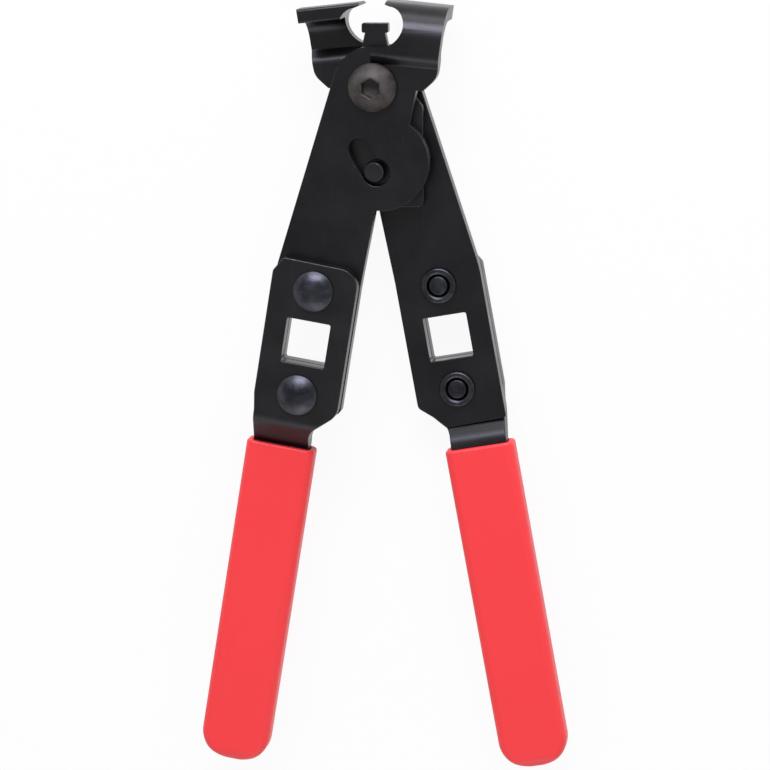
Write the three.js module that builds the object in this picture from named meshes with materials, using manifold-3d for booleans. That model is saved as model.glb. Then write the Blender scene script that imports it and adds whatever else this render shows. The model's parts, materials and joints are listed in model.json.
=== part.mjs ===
// Hose clamp pliers. Two like plate levers cross at a pivot screw, one turned over on the other. Each
// lever ends in half of a hooked jaw and carries a riveted handle bar with a dipped grip. Between them
// an anvil plate slides on the pivot screw: its cam pin runs in a spiral slot in each lever, so that
// closing the handles lifts the anvil into the jaws as the jaw tips meet.
//
// Millimetres. The tool lies flat: X across, Y towards the jaws, Z up through the plates. Each lever is
// drawn in its closed frame, with the pivot at 0, 0 and the middle plane between the levers at Z = 0.

import * as THREE from 'three';
import { mergeVertices } from 'three/addons/utils/BufferGeometryUtils.js';
import Module from 'manifold-3d';

const wasm = await Module();
wasm.setup();

const rad = THREE.MathUtils.degToRad;

// Fits and cuts
const seatGap = 0.3;              // between pieces that are clamped or riveted together
const slideGap = 0.3;             // anvil plate to each lever
const runGap = 0.25;              // radial, pivot shoulder and rivet shanks in their holes
const pinGap = 0.4;               // cam pin to each side of its slot
const sleeveGap = 0.3;            // grip to the bar inside it
const tipGap = 1.5;               // left between the closed jaw tips
const overrun = 1;                // how far a cut runs past what it cuts

// Movement
const openAngle = rad(6);         // each lever from closed to the rest position
const pinReach = 24.4;            // pivot axis to cam pin, open
const camRise = 27.5;             // anvil travel per radian of one lever
const slotOvertravel = rad(7);    // slot left past the closed position
const anvilTravel = camRise * openAngle;

// Plates
const centreGap = 4;
const leverThick = 4.5;
const leverInner = centreGap / 2;
const leverOuter = leverInner + leverThick;

// Lever head
const bossRadius = 11.7;
const lobeRadius = 13.9;
const lobeX = 4.3;
const lobeY = -21.4;
const rootEdgeX = 12.5;           // edge between the lobe and the jaw, at its top
const rootLowX = 11.4;            // and where it meets the lobe
const rootLowY = -11;
const rootNotchY = 0.3;
const rootNotchDepth = 1.9;
const rootFillet = 0.8;
const crotchX = 4;

// Jaw
const jawHeight = 24.4;           // pivot axis to the top of the flange
const jawHalfWidth = 18.1;        // across the foot of the jaw
const jawTopHalfWidth = 19;
const jawSpread = 2.5;            // how far the jaw wall steps out from the lever plate
const jawSpreadStart = 7;
const jawSpreadEnd = 9.7;
const jawSpreadInside = 1.2;      // fillets on the inside of the step's two bends
const jawSpreadOutside = 4.5;     // and on their outside
const jawBendRadius = 10;
const jawInnerRadius = 5.5;
const flangeThick = 4.1;
const jawInnerX = -1.3;           // inner edge of the stepped wall
const jawCornerY = 4.4;           // where the side of the jaw turns in to the root
const jawCornerRadius = 5.5;
const mouthRadius = 7.4;
const mouthDrop = 5.6;            // from the top of the flange down to the middle of the mouth
const mouthCornerRadius = 5;      // between the sides of the mouth and its roof
const tipThick = 0.8;
const tipUndercut = 0.5;          // rise of the mouth's roof from its sides to the tips
const jawOuter = leverOuter + jawSpread;
const mouthY = jawHeight - mouthDrop;
const jawFoot = jawSpreadStart - overrun; // where the bent jaw takes over from the flat plate

// Arm: the frame of the handle, with its origin at the middle of the drive hole
const driveX = -12;
const driveY = -75.1;
const armTilt = rad(3.8);
const driveSquare = 12.9;
const driveCorner = 0.6;
const rivetPitch = 30.8;
const leverArmOuter = 12.7;
const leverArmInner = 12.5;
const leverKneeOuter = 19;
const leverKneeInner = 18.1;
const leverKneeFillet = 30;
const leverFootOuter = -26;
const leverFootInner = -26.5;
const leverFootX = 5.2;
const leverHeelY = -19.4;
const leverHeelFillet = 2;
const leverHollow = 0.4;          // sag of the hollow between the heel and the foot
const leverFootFillet = 1;

// Handle bar
const barThick = 5;
const barOuterEdge = 12.7;
const barInnerEdge = 12.3;
const barTopOuter = 23.6;
const barTopInner = 23.2;
const barChamferRun = 2.6;
const barChamferRise = 4.3;
const barTopFillet = 5.5;
const barChamferFillet = 1.2;
const barHeelY = -19.7;
const barHeelFillet = 5;
const barHollowFillet = 6.5;
const neckOuter = -12;
const neckInner = 4.5;
const neckStartY = -22;
const neckShoulderY = -17;
const neckFillet = 6;
const barHollowY = -26.7;
const barBendY = -22.3;           // where the bar's inner face starts to bend back
const barSlope = rad(45);
const barBendInside = 1;
const barBendOutside = 5;
const barPlane = 1.5;             // middle of the bar inside the grip, from the middle plane
const barEndRadius = 6;
const barInner = leverOuter + seatGap;
const barOuter = barInner + barThick;

// Grip
const gripTopY = -32.6;
const gripLength = 97.4;
const gripWall = 1.9;
const gripEndWall = 2.4;
const gripEndRadius = 8.5;
const gripTopRadius = 0.8;
const gripEdge = 2.6;             // rounding of the long edges
const gripEndEdge = 3.4;          // and of the closed end, from the side
const gripWidth = neckInner - neckOuter + 2 * gripWall;
const gripThick = barThick + 2 * gripWall;
const gripX = (neckInner + neckOuter) / 2;
const barEndY = gripTopY - gripLength + gripEndWall;

// Rivets
const rivetRadius = 3.3;
const rivetHeadRadius = 5.8;
const rivetHeadHeight = 2.6;
const rivetHeadRim = 0.5;
const rivetTailRadius = 5.2;
const rivetTailHeight = 0.8;
const rivetGrooveInner = 2.9;
const rivetGrooveOuter = 3.5;
const rivetGrooveDepth = 0.5;
const rivetCoreRise = 0.35;

// Pivot screw and nut
const shoulderRadius = 5;
const threadRadius = 4;
const threadPast = 1;             // thread past the nut
const headRadius = 7;
const headHeight = 4.4;
const headRim = 0.9;
const headTopRadius = 3.5;
const socketFlats = 5;
const socketTurn = rad(30);
const crownSteps = 5;
const socketDepth = 2.8;
const nutFlats = 13;
const nutThick = 5;
const nutChamfer = 0.9;
const endChamfer = 0.6;

// Anvil plate
const anvilThick = centreGap - 2 * slideGap;
const anvilHalf = 13.6;
const anvilFootY = -35;
const anvilFootRadius = 2;
const anvilShoulderY = -6;
const anvilWaistHalf = 10.5;
const anvilWaistLow = -1.5;
const anvilWaistHigh = 3;
const anvilFillet = 2.5;
const neckRootHalf = 3.9;
const neckRootY = 10.6;
const neckRootFillet = 1.2;
const neckTopHalf = 2.9;
const teeHalf = 3.85;
const teeLow = 15.1;
const teeHigh = 17.9;
const teeFillet = 0.5;
const guideEnd = 0.5;             // spare length at each end of the guide slot
const pinRadius = 2.8;
const pinProud = 0.4;
const pinChamfer = 0.4;
const pinReliefRadius = 4;
const pinReliefShift = 0.7;

// Facets
const arcStep = rad(10);
const ringSteps = 32;

// Solids from geometry, and back.

function solidOf(geometry) {
  const bare = geometry.index ? geometry.toNonIndexed() : geometry.clone();
  bare.deleteAttribute('normal');
  bare.deleteAttribute('uv');
  const merged = mergeVertices(bare);
  return new wasm.Manifold(new wasm.Mesh({
    numProp: 3,
    vertProperties: new Float32Array(merged.attributes.position.array),
    triVerts: new Uint32Array(merged.index.array),
  }));
}

function geometryOf(solid) {
  const mesh = solid.getMesh();
  const geometry = new THREE.BufferGeometry();
  geometry.setAttribute('position', new THREE.BufferAttribute(mesh.vertProperties, 3));
  geometry.setIndex(new THREE.BufferAttribute(mesh.triVerts, 1));
  const faceted = geometry.toNonIndexed();
  faceted.computeVertexNormals();
  return faceted;
}

const joined = (...solids) => solids.reduce((whole, piece) => whole.add(piece));
const cut = (solid, ...cutters) => cutters.reduce((rest, cutter) => rest.subtract(cutter), solid);

// Outlines.

// Points of an arc, both ends included.
function arc(x, y, radius, from, to) {
  const steps = Math.max(2, Math.ceil(Math.abs(to - from) / arcStep));
  return Array.from({ length: steps + 1 }, (_, i) => {
    const angle = from + (to - from) * (i / steps);
    return new THREE.Vector2(x + radius * Math.cos(angle), y + radius * Math.sin(angle));
  });
}

// An outline from its corners [x, y, fillet radius], each fillet limited to half of its shorter side.
function outline(corners) {
  const at = corners.map(([x, y]) => new THREE.Vector2(x, y));
  const points = [];
  corners.forEach(([, , radius = 0], i) => {
    const corner = at[i];
    const before = at.at(i - 1).clone().sub(corner);
    const after = at[(i + 1) % at.length].clone().sub(corner);
    const room = Math.min(before.length(), after.length()) / 2;
    before.normalize();
    after.normalize();
    const half = Math.acos(THREE.MathUtils.clamp(before.dot(after), -1, 1)) / 2;
    const reach = Math.min(radius / Math.tan(half), room);
    if (reach <= 0) {
      points.push(corner);
      return;
    }
    const fillet = reach * Math.tan(half);
    const inward = before.clone().add(after).normalize();
    const centre = inward.multiplyScalar(fillet / Math.sin(half)).add(corner);
    const start = before.multiplyScalar(reach).add(corner).sub(centre);
    const end = after.multiplyScalar(reach).add(corner).sub(centre);
    const sweep = Math.atan2(start.cross(end), start.dot(end));
    points.push(...arc(centre.x, centre.y, fillet, start.angle(), start.angle() + sweep));
  });
  return new THREE.Shape(points);
}

const circle = (x, y, radius) => new THREE.Shape(
  Array.from({ length: ringSteps }, (_, i) => {
    const angle = (2 * Math.PI * i) / ringSteps;
    return new THREE.Vector2(x + radius * Math.cos(angle), y + radius * Math.sin(angle));
  }));

const square = (side, corner) => outline([
  [-side / 2, -side / 2, corner], [side / 2, -side / 2, corner],
  [side / 2, side / 2, corner], [-side / 2, side / 2, corner]]);

function hexagon(flats, turn) {
  const reach = flats / Math.sqrt(3);
  return new THREE.Shape(Array.from({ length: 6 }, (_, i) => {
    const angle = turn + (i * Math.PI) / 3;
    return new THREE.Vector2(reach * Math.cos(angle), reach * Math.sin(angle));
  }));
}

// A band of even width round a line of points, with round ends.
function band(centres, half) {
  const left = [];
  const right = [];
  const heading = (i) => {
    const from = centres[Math.max(i - 1, 0)];
    const to = centres[Math.min(i + 1, centres.length - 1)];
    return to.clone().sub(from).angle();
  };
  centres.forEach((centre, i) => {
    const side = heading(i) + Math.PI / 2;
    const step = new THREE.Vector2(Math.cos(side), Math.sin(side)).multiplyScalar(half);
    left.push(centre.clone().add(step));
    right.unshift(centre.clone().sub(step));
  });
  const first = centres[0];
  const last = centres.at(-1);
  const headOut = heading(centres.length - 1);
  const headIn = heading(0);
  const endCap = arc(last.x, last.y, half, headOut + Math.PI / 2, headOut - Math.PI / 2);
  const startCap = arc(first.x, first.y, half, headIn - Math.PI / 2, headIn - 3 * Math.PI / 2);
  return new THREE.Shape([...left, ...endCap.slice(1, -1), ...right, ...startCap.slice(1, -1)]);
}

// Extrusions and revolves.

function plate(shape, low, high) {
  const geometry = new THREE.ExtrudeGeometry(shape, { depth: high - low, bevelEnabled: false });
  return solidOf(geometry.translate(0, 0, low));
}

// A profile drawn in Y and Z, run along X.
function crosswise(shape, low, high) {
  const geometry = new THREE.ExtrudeGeometry(shape, { depth: high - low, bevelEnabled: false });
  const alongX = new THREE.Matrix4().makeBasis(
    new THREE.Vector3(0, 1, 0), new THREE.Vector3(0, 0, 1), new THREE.Vector3(1, 0, 0));
  return solidOf(geometry.applyMatrix4(alongX).translate(low, 0, 0));
}

// A profile drawn in X and Z, run along Y.
function lengthwise(shape, low, high) {
  const geometry = new THREE.ExtrudeGeometry(shape, { depth: high - low, bevelEnabled: false });
  const alongY = new THREE.Matrix4().makeBasis(
    new THREE.Vector3(1, 0, 0), new THREE.Vector3(0, 0, 1), new THREE.Vector3(0, -1, 0));
  return solidOf(geometry.applyMatrix4(alongY).translate(0, high, 0));
}

// A profile of [radius, height] pairs, turned about Z.
function turned(profile) {
  const geometry = new THREE.LatheGeometry(profile.map(([r, z]) => new THREE.Vector2(r, z)), ringSteps);
  return solidOf(geometry.rotateX(Math.PI / 2));
}

// Lever.

// A place in the arm's frame, given in the lever's.
const armPoint = (x, y) => [
  driveX + x * Math.cos(armTilt) + y * Math.sin(armTilt),
  driveY - x * Math.sin(armTilt) + y * Math.cos(armTilt)];

// The cam pin in the lever's frame, with the lever open by the angle given.
function pinPlace(angle) {
  const reach = pinReach - camRise * (openAngle - angle);
  return new THREE.Vector2(reach * Math.sin(angle), -reach * Math.cos(angle));
}

function camSlot() {
  const steps = Math.ceil((openAngle + slotOvertravel) / rad(1));
  const centres = Array.from({ length: steps + 1 }, (_, i) => pinPlace(
    openAngle - (openAngle + slotOvertravel) * (i / steps)));
  const slot = plate(band(centres, pinRadius + pinGap), leverInner - overrun, leverOuter + overrun);
  const open = pinPlace(openAngle);
  const relief = plate(circle(open.x + pinReliefShift, open.y, pinReliefRadius),
    leverInner - overrun, leverOuter + overrun);
  return joined(slot, relief);
}

// The point where a line from outside touches the boss, on its left.
function bossTangent([x, y]) {
  const distance = Math.hypot(x, y);
  const angle = Math.atan2(y, x) - Math.acos(bossRadius / distance);
  return [bossRadius * Math.cos(angle), bossRadius * Math.sin(angle)];
}

// Between the heel and the foot the inner edge is hollow: a flat arc with the sag given.
function hollow(from, to, sag) {
  const a = new THREE.Vector2(...from);
  const b = new THREE.Vector2(...to);
  const chord = b.clone().sub(a);
  const radius = (chord.length() ** 2 / 4 + sag ** 2) / (2 * sag);
  const normal = new THREE.Vector2(chord.y, -chord.x).normalize();
  const centre = a.clone().add(b).multiplyScalar(0.5).addScaledVector(normal, radius - sag);
  const start = a.clone().sub(centre);
  const end = b.clone().sub(centre);
  const sweep = Math.atan2(start.cross(end), start.dot(end));
  return arc(centre.x, centre.y, radius, start.angle(), start.angle() + sweep)
    .slice(1, -1).map((p) => [p.x, p.y]);
}

// The side of the lever head: up from the lobe, out under the jaw and up to its stepped wall.
const jawRoot = [rootEdgeX + rootNotchDepth, rootNotchY, rootFillet];
const jawSide = [
  [rootLowX, rootLowY],
  [rootEdgeX, rootNotchY],
  jawRoot,
  [jawHalfWidth, jawCornerY, jawCornerRadius],
  [jawTopHalfWidth, jawHeight],
];

function leverBlank() {
  const knee = armPoint(-leverArmOuter, leverKneeOuter);
  const heel = armPoint(leverArmInner, leverHeelY);
  const foot = armPoint(leverFootX, leverFootInner);
  return outline([
    bossTangent(knee),
    [...knee, leverKneeFillet],
    [...armPoint(-leverArmOuter, leverFootOuter), leverFootFillet],
    [...foot, 0],
    ...hollow(foot, heel, leverHollow),
    [...heel, leverHeelFillet],
    [...armPoint(leverArmInner, leverKneeInner), leverKneeFillet],
    [crotchX, lobeY - lobeRadius + overrun],
    [lobeX, lobeY],
    ...jawSide,
    [0, jawHeight],
    [0, 0],
  ]);
}

function jawProfile() {
  const slope = Math.atan2(jawSpread, jawSpreadEnd - jawSpreadStart);
  const shift = leverThick * Math.tan(slope / 2);
  const start = jawFoot - overrun;
  const wall = leverInner + jawSpread;
  const under = jawHeight - flangeThick;
  const quarter = (y, z, radius, from, to) => arc(y - radius, z - radius, radius, from, to)
    .map((p) => [p.x, p.y]);
  return outline([
    [start, leverInner],
    [jawSpreadStart + shift, leverInner, jawSpreadOutside],
    [jawSpreadEnd + shift, wall, jawSpreadInside],
    ...quarter(under, wall, jawInnerRadius, Math.PI / 2, 0),
    [under, -jawOuter, tipThick],
    [jawHeight, -jawOuter, tipThick],
    ...quarter(jawHeight, jawOuter, jawBendRadius, 0, Math.PI / 2),
    [jawSpreadEnd, jawOuter, jawSpreadOutside],
    [jawSpreadStart, leverOuter, jawSpreadInside],
    [start, leverOuter],
  ]);
}

// The round mouth that the two jaws close round, with a flatter roof that leaves the tips thin.
function mouth() {
  const roof = jawHeight - tipThick;
  const y = roof - tipUndercut - mouthCornerRadius;
  const x = Math.sqrt((mouthRadius - mouthCornerRadius) ** 2 - (y - mouthY) ** 2);
  const turn = Math.atan2(y - mouthY, x);
  const shape = new THREE.Shape([
    ...arc(0, mouthY, mouthRadius, Math.PI - turn, 2 * Math.PI + turn),
    ...arc(x, y, mouthCornerRadius, turn, Math.PI / 2).slice(1),
    new THREE.Vector2(0, roof),
    ...arc(-x, y, mouthCornerRadius, Math.PI / 2, Math.PI - turn).slice(0, -1)]);
  return plate(shape, -jawOuter - overrun, jawOuter + overrun);
}

function lever() {
  const flat = plate(leverBlank(), leverInner, leverOuter);
  const boss = plate(circle(0, 0, bossRadius), leverInner, leverOuter);
  const lobe = plate(circle(lobeX, lobeY, lobeRadius), leverInner, leverOuter);
  const aboveFoot = plate(outline([
    [jawInnerX, jawFoot], [jawTopHalfWidth + overrun, jawFoot],
    [jawTopHalfWidth + overrun, jawHeight + overrun], [jawInnerX, jawHeight + overrun]]),
  leverInner - overrun, leverOuter + overrun);
  const jawFront = plate(outline([
    [jawInnerX, rootNotchY], ...jawSide.slice(jawSide.indexOf(jawRoot)),
    [jawTopHalfWidth, jawHeight + overrun], [tipGap / 2, jawHeight + overrun],
    [tipGap / 2, mouthY], [jawInnerX, mouthY]]),
  -jawOuter - overrun, jawOuter + overrun);
  const jaw = crosswise(jawProfile(), jawInnerX - overrun, jawTopHalfWidth + overrun).intersect(jawFront);
  const plain = joined(cut(joined(flat, boss, lobe), aboveFoot), jaw);
  const armCuts = [footBevel(), ...armHoles(leverInner, leverOuter)].map(intoLever);
  return cut(plain, mouth(), pivotBore(), camSlot(), ...armCuts);
}

const pivotBore = () => plate(
  circle(0, 0, shoulderRadius + runGap), leverInner - overrun, leverOuter + overrun);

// The square drive hole and the two rivet holes, in the arm's frame.
function armHoles(low, high) {
  const shapes = [
    square(driveSquare, driveCorner),
    circle(0, rivetPitch / 2, rivetRadius + runGap),
    circle(0, -rivetPitch / 2, rivetRadius + runGap)];
  return shapes.map((shape) => plate(shape, low - overrun, high + overrun));
}

const intoLever = (solid) => solid
  .rotate([0, 0, -THREE.MathUtils.radToDeg(armTilt)]).translate([driveX, driveY, 0]);

// Handle bar and grip, in the arm's frame.

function barFront(extra) {
  return outline([
    [-barOuterEdge - extra, barTopOuter - barChamferRise, barChamferFillet],
    [-barOuterEdge - extra, neckShoulderY, neckFillet],
    [neckOuter - extra, neckStartY, neckFillet],
    [neckOuter - extra, barEndY - extra, barEndRadius],
    [neckInner + extra, barEndY - extra, barEndRadius],
    [neckInner + extra, barHollowY, barHollowFillet],
    [barInnerEdge + extra, barHeelY, barHeelFillet],
    [barInnerEdge + extra, barTopInner, barTopFillet],
    [barChamferRun - barOuterEdge - extra, barTopOuter, barChamferFillet],
  ]);
}

// The bar from the side: flat on the lever, then bent back towards the middle plane.
function barSide(extra) {
  const low = barPlane - barThick / 2;
  const run = (barInner - low) / Math.tan(barSlope);
  const mitre = Math.tan(barSlope / 2);
  const inner = barBendY + extra * mitre;
  const outer = barBendY - (barThick + extra) * mitre;
  const top = Math.max(barTopOuter, barTopInner) + overrun;
  const end = barEndY - overrun;
  return outline([
    [top, barInner - extra],
    [inner, barInner - extra, barBendInside],
    [inner - run, low - extra, barBendOutside],
    [end, low - extra],
    [end, low + barThick + extra],
    [outer - run, low + barThick + extra, barBendInside],
    [outer, barOuter + extra, barBendOutside],
    [top, barOuter + extra],
  ]);
}

// The lever's foot is bevelled to follow the bend of the bar.
function footBevel() {
  const place = (z) => barBendY - (barInner - seatGap / Math.cos(barSlope) - z) / Math.tan(barSlope);
  const high = leverOuter + overrun;
  const low = leverInner - overrun;
  const end = place(low) - barThick;
  const profile = new THREE.Shape([
    new THREE.Vector2(place(high), high), new THREE.Vector2(end, high),
    new THREE.Vector2(end, low), new THREE.Vector2(place(low), low)]);
  return crosswise(profile, -barOuterEdge - overrun, barInnerEdge + overrun);
}

const barBlank = (extra) => plate(barFront(extra), -barThick, barOuter + overrun).intersect(
  crosswise(barSide(extra), -barOuterEdge - overrun, barInnerEdge + overrun));

const handleBar = () => cut(barBlank(0), ...armHoles(barInner, barOuter));

function grip() {
  const half = gripWidth / 2;
  const low = barPlane - gripThick / 2;
  const high = barPlane + gripThick / 2;
  const foot = gripTopY - gripLength;
  const section = lengthwise(outline([
    [gripX - half, low, gripEdge], [gripX + half, low, gripEdge],
    [gripX + half, high, gripEdge], [gripX - half, high, gripEdge]]), foot, gripTopY);
  const face = plate(outline([
    [gripX - half, gripTopY, gripTopRadius], [gripX - half, foot, gripEndRadius],
    [gripX + half, foot, gripEndRadius], [gripX + half, gripTopY, gripTopRadius]]), low, high);
  const side = crosswise(outline([
    [gripTopY, low, gripTopRadius], [foot, low, gripEndEdge],
    [foot, high, gripEndEdge], [gripTopY, high, gripTopRadius]]), gripX - half, gripX + half);
  return cut(section.intersect(face).intersect(side), barBlank(sleeveGap));
}

// Rivets, pivot screw and nut.

function rivet() {
  const headSeat = barOuter + seatGap;
  const tailSeat = leverInner - seatGap;
  const tailFace = tailSeat - rivetTailHeight;
  const domeHeight = rivetHeadHeight - rivetHeadRim;
  const domeRadius = (rivetHeadRadius ** 2 + domeHeight ** 2) / (2 * domeHeight);
  const domeAngle = Math.asin(rivetHeadRadius / domeRadius);
  const domeCentre = headSeat + rivetHeadHeight - domeRadius;
  const dome = arc(0, domeCentre, domeRadius, Math.PI / 2 - domeAngle, Math.PI / 2);
  return turned([
    [0, tailFace - rivetCoreRise],
    [rivetGrooveInner - rivetCoreRise, tailFace - rivetCoreRise],
    [rivetGrooveInner, tailFace],
    [rivetGrooveInner, tailFace + rivetGrooveDepth],
    [rivetGrooveOuter, tailFace + rivetGrooveDepth],
    [rivetGrooveOuter, tailFace],
    [rivetTailRadius - rivetCoreRise, tailFace],
    [rivetTailRadius, tailSeat],
    [rivetRadius, tailSeat],
    [rivetRadius, headSeat],
    [rivetHeadRadius, headSeat],
    ...dome.slice(0, -1).map((p) => [p.x, p.y]),
    [0, headSeat + rivetHeadHeight],
  ]);
}

function pivotScrew() {
  const seat = leverOuter + seatGap;
  const domeHeight = headHeight - headRim;
  const crown = Array.from({ length: crownSteps + 1 }, (_, i) => {
    const angle = (Math.PI / 2) * (i / crownSteps);
    return [headTopRadius + (headRadius - headTopRadius) * Math.cos(angle),
      seat + headRim + domeHeight * Math.sin(angle)];
  });
  const end = -seat - nutThick - threadPast;
  const body = turned([
    [0, end],
    [threadRadius - endChamfer, end],
    [threadRadius, end + endChamfer],
    [threadRadius, -seat],
    [shoulderRadius, -seat],
    [shoulderRadius, seat],
    [headRadius, seat],
    ...crown,
    [0, seat + headHeight],
  ]);
  const socket = plate(hexagon(socketFlats, socketTurn),
    seat + headHeight - socketDepth, seat + headHeight + overrun);
  return cut(body, socket);
}

function pivotNut() {
  const top = -leverOuter - 2 * seatGap;
  const low = top - nutThick;
  const corner = nutFlats / Math.sqrt(3);
  const chamfered = turned([
    [0, low], [corner - nutChamfer, low], [corner, low + nutChamfer / 2],
    [corner, top - nutChamfer / 2], [corner - nutChamfer, top], [0, top]]);
  const bore = plate(circle(0, 0, threadRadius + seatGap), low - overrun, top + overrun);
  return cut(plate(hexagon(nutFlats, 0), low, top).intersect(chamfered), bore);
}

// Anvil and cam pin.

function anvilPlate() {
  const right = [
    [anvilHalf, anvilFootY, anvilFootRadius],
    [anvilHalf, anvilShoulderY, anvilFillet],
    [anvilWaistHalf, anvilWaistLow, anvilFillet],
    [anvilWaistHalf, anvilWaistHigh, anvilFillet],
    [neckRootHalf, neckRootY, neckRootFillet],
    [neckTopHalf, teeLow],
    [teeHalf, teeLow, teeFillet],
    [teeHalf, teeHigh, teeFillet],
  ];
  const left = right.map(([x, y, fillet]) => [-x, y, fillet]).reverse();
  const blank = plate(outline([...right, ...left]), -anvilThick / 2, anvilThick / 2);
  const guide = band([new THREE.Vector2(0, guideEnd), new THREE.Vector2(0, -anvilTravel - guideEnd)],
    shoulderRadius + slideGap);
  const pinHole = circle(0, -pinReach, pinRadius + runGap);
  return cut(blank, ...[guide, pinHole].map((shape) => plate(shape, -anvilThick, anvilThick)));
}

function camPin() {
  const end = leverOuter + pinProud;
  return turned([
    [0, -end], [pinRadius - pinChamfer, -end], [pinRadius, pinChamfer - end],
    [pinRadius, end - pinChamfer], [pinRadius - pinChamfer, end], [0, end]]);
}

// Assembly.

const finish = {
  plate: { color: 0x1d1d1f, roughness: 0.42, metalness: 0.6 },
  bar: { color: 0x202024, roughness: 0.45, metalness: 0.6 },
  anvil: { color: 0x2a2a2c, roughness: 0.5, metalness: 0.6 },
  rivet: { color: 0x2b313c, roughness: 0.38, metalness: 0.7 },
  screw: { color: 0x4a4340, roughness: 0.5, metalness: 0.7 },
  grip: { color: 0xfa3f46, roughness: 0.55, metalness: 0 },
};

function piece(name, solid, look) {
  const mesh = new THREE.Mesh(geometryOf(solid), new THREE.MeshStandardMaterial(look));
  mesh.name = name;
  return mesh;
}

function armAssembly(side) {
  const arm = new THREE.Group();
  arm.position.set(driveX, driveY, 0);
  arm.rotation.z = -armTilt;
  arm.add(piece(`${side}_handle_bar`, handleBar(), finish.bar));
  arm.add(piece(`${side}_grip`, grip(), finish.grip));
  [['upper', 1], ['lower', -1]].forEach(([place, way]) => {
    const fastener = piece(`${side}_rivet_${place}`, rivet(), finish.rivet);
    fastener.position.y = (way * rivetPitch) / 2;
    arm.add(fastener);
  });
  return arm;
}

function leverAssembly(side) {
  const whole = new THREE.Group();
  whole.add(piece(`${side}_lever`, lever(), finish.plate), armAssembly(side));
  return whole;
}

const front = leverAssembly('front');
front.rotation.z = -openAngle;

// The rear lever is the same assembly turned over about the tool's long axis.
const turnedOver = leverAssembly('rear');
turnedOver.rotation.y = Math.PI;
const rear = new THREE.Group();
rear.rotation.z = openAngle;
rear.add(turnedOver);

const pin = piece('cam_pin', camPin(), finish.anvil);
pin.position.y = -pinReach;

const pliers = new THREE.Group();
pliers.add(
  front, rear,
  piece('anvil_plate', anvilPlate(), finish.anvil), pin,
  piece('pivot_screw', pivotScrew(), finish.screw),
  piece('pivot_nut', pivotNut(), finish.screw));

// The origin lies under the middle of the tool, on the surface that it lies on.
const bounds = new THREE.Box3().setFromObject(pliers, true);
const middle = bounds.getCenter(new THREE.Vector3());
pliers.position.set(-middle.x, -middle.y, -bounds.min.z);

const tool = new THREE.Group();
tool.add(pliers);
export default tool;
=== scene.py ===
"""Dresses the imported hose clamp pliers: rounded blackened plates, domed rivets, a socket screw with its
nut, and dipped grips, on a pale floor under soft light. Sizes are in metres, in the frame of the model."""

import json
import math

import bmesh
import bpy
from bpy.props import FloatProperty, FloatVectorProperty, IntProperty, PointerProperty
from bpy.types import Operator, Panel, PropertyGroup
from mathutils import Matrix, Vector


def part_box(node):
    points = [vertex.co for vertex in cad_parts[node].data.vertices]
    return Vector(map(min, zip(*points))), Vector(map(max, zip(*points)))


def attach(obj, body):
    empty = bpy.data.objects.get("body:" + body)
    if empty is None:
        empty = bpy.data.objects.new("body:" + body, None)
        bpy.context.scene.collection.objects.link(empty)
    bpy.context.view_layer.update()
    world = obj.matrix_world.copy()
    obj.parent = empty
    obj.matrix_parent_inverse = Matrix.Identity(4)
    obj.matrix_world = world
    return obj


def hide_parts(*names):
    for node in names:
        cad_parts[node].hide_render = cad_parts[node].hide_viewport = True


bl_info = {
    "name": "Hose Clamp Pliers",
    "version": (1, 0, 0),
    "blender": (4, 5, 0),
    "location": "View3D > Sidebar > Pliers",
    "description": "Dresses the hose clamp pliers and sets them on a lit floor",
    "category": "Object",
}

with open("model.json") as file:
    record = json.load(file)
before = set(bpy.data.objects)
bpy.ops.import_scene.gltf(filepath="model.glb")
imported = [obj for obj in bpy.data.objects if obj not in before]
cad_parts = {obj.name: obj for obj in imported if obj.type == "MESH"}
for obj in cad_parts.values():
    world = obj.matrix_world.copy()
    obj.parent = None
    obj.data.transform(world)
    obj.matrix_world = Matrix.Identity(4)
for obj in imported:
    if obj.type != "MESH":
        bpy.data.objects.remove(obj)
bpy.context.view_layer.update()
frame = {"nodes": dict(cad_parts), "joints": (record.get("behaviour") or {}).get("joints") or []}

MM = 0.001
QUARTER_TURN = math.pi / 2
FULL_TURN = 2 * math.pi
SIDES = ("front", "rear")

# How a copy of a solid is cleaned and rounded: points this close are one, edges this short are closed up,
# faces that turn by less than the first angle are one face, and edges that turn by more than the second
# are rims.
MERGE = 0.002 * MM
SHORT_EDGE = 0.2 * MM
FLAT_ANGLE = math.radians(0.6)
RIM_ANGLE = math.radians(32)

# The least upright share of a level face's normal. A lever's edges round the mouth, within this half width
# and past this place along Y, stay sharp, because the short ones there would fold over themselves.
LEVEL = 0.999
MOUTH_HALF_WIDTH = 10 * MM
MOUTH_FOOT = 94 * MM

# Edges that turn by more look sharp: on plates, grips and rivets, on the screw, and on the pin.
SHARP_ANGLE = math.radians(50)
SCREW_SHARP_ANGLE = math.radians(38)
PIN_SHARP_ANGLE = math.radians(35)

# A mark on the rounded edges, which the paler edge colour reads, and the angle that each point of a grip
# faces.
EDGE_LAYER = "edge"
TURN_LAYER = "turn"

# Where the arms stand: the pivot, the angle each lever is open by, the lean of its handle, the middle of
# its drive hole from the pivot, and the distance between its rivets.
PIVOT = Vector(next(j for j in frame["joints"] if j["name"] == "front_hinge")["pos_m"])
OPEN_ANGLE = math.radians(6)
ARM_TILT = math.radians(3.8)
DRIVE_HOLE = Vector((-12, -75.1, 0)) * MM
RIVET_PITCH = 30.8 * MM

# Heights above the plane between the levers, the room that the model leaves between pieces that seat on
# one another, and the room round the cam pin in the anvil plate.
LEVER_INNER = 2 * MM
LEVER_OUTER = 6.5 * MM
BAR_OUTER = 11.8 * MM
SEAT_GAP = 0.3 * MM
PIN_FIT = 0.25 * MM


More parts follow.
